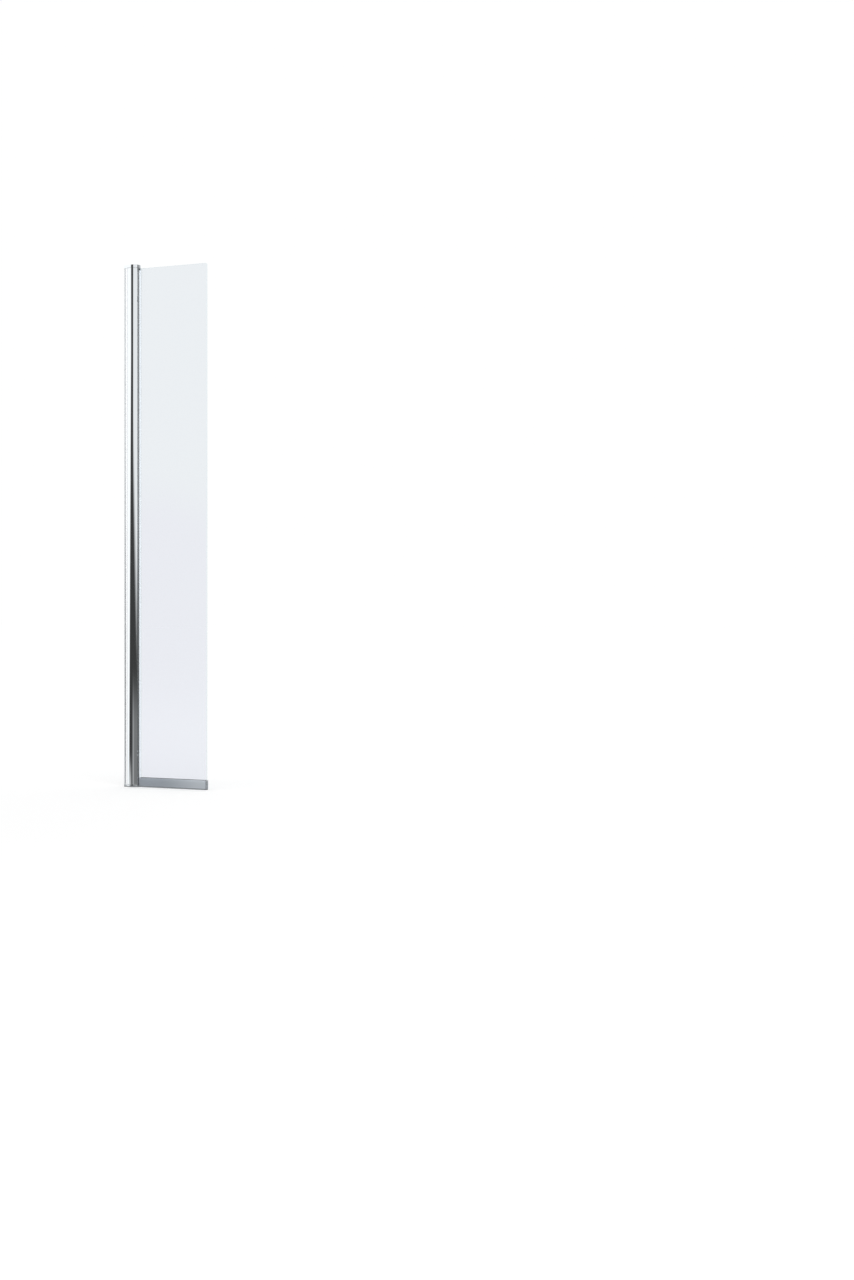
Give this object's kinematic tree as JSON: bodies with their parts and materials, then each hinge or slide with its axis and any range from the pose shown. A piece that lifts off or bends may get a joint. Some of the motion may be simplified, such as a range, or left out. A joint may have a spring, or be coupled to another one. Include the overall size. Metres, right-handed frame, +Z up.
{
  "type": "bath screen",
  "caption": "Pivoting bath screen: a clear glass pane in a round chrome hinge tube beside the wall, with a satin rail and a wiper seal along its lower edge.",
  "frame": {"origin": "on the hinge axis, in the plane of the foot pad's underside, which stands on the bath rim", "axes": "+X along the closed pane away from the wall, +Y to the bath side where the water is, +Z up along the hinge axis"},
  "size_m": [0.27, 0.0408, 1.5],
  "materials": {
    "polished_aluminium": "bright polished",
    "chrome_tube": "mirror bright, chrome look",
    "chromed_casting": "mirror",
    "chrome_plastic": "chrome plated",
    "cast_zinc": "plain die casting",
    "satin_rail": "satin anodised",
    "rail_cap_plastic": "satin silver",
    "clear_glass": "clear toughened, polished edges",
    "grey_gasket": "soft matt",
    "grey_seal": "soft satin",
    "dark_pad": "matt",
    "acetal": "smooth",
    "block_plastic": "matt",
    "steel": "stainless"
  },
  "bodies": {
    "wall_post": {"wall_channel": "polished_aluminium", "carrier_profile": "polished_aluminium", "tube_seal_front": "grey_seal", "tube_seal_back": "grey_seal", "profile_screws": "steel", "screw_caps": "chrome_plastic", "top_bracket": "cast_zinc", "bottom_bracket": "chromed_casting", "top_cap": "chromed_casting", "foot_pad": "dark_pad", "thrust_washer": "acetal", "bottom_pivot_pin": "steel", "top_pivot_pin": "steel", "bottom_bracket_screws": "steel", "top_bracket_screws": "steel"},
    "screen": {"hinge_tube": "chrome_tube", "glass_panel": "clear_glass", "glazing_gasket_front": "grey_gasket", "glazing_gasket_back": "grey_gasket", "setting_blocks": "block_plastic", "bottom_rail": "satin_rail", "rail_gasket": "grey_gasket", "rail_inner_cap": "rail_cap_plastic", "rail_end_cap": "rail_cap_plastic", "wiper_seal": "grey_seal", "bottom_bush": "acetal", "bottom_end_plug": "chrome_plastic", "bottom_plug_screws": "steel", "top_bush": "acetal", "top_end_plug": "chrome_plastic", "top_plug_screws": "steel"}
  },
  "joints": [
    {"name": "screen_swing", "type": "hinge", "parent": "wall_post", "child": "screen", "pos_m": [0, 0, 0], "axis": [0, 0, 1], "range_deg": [-90, 90]}
  ]
}
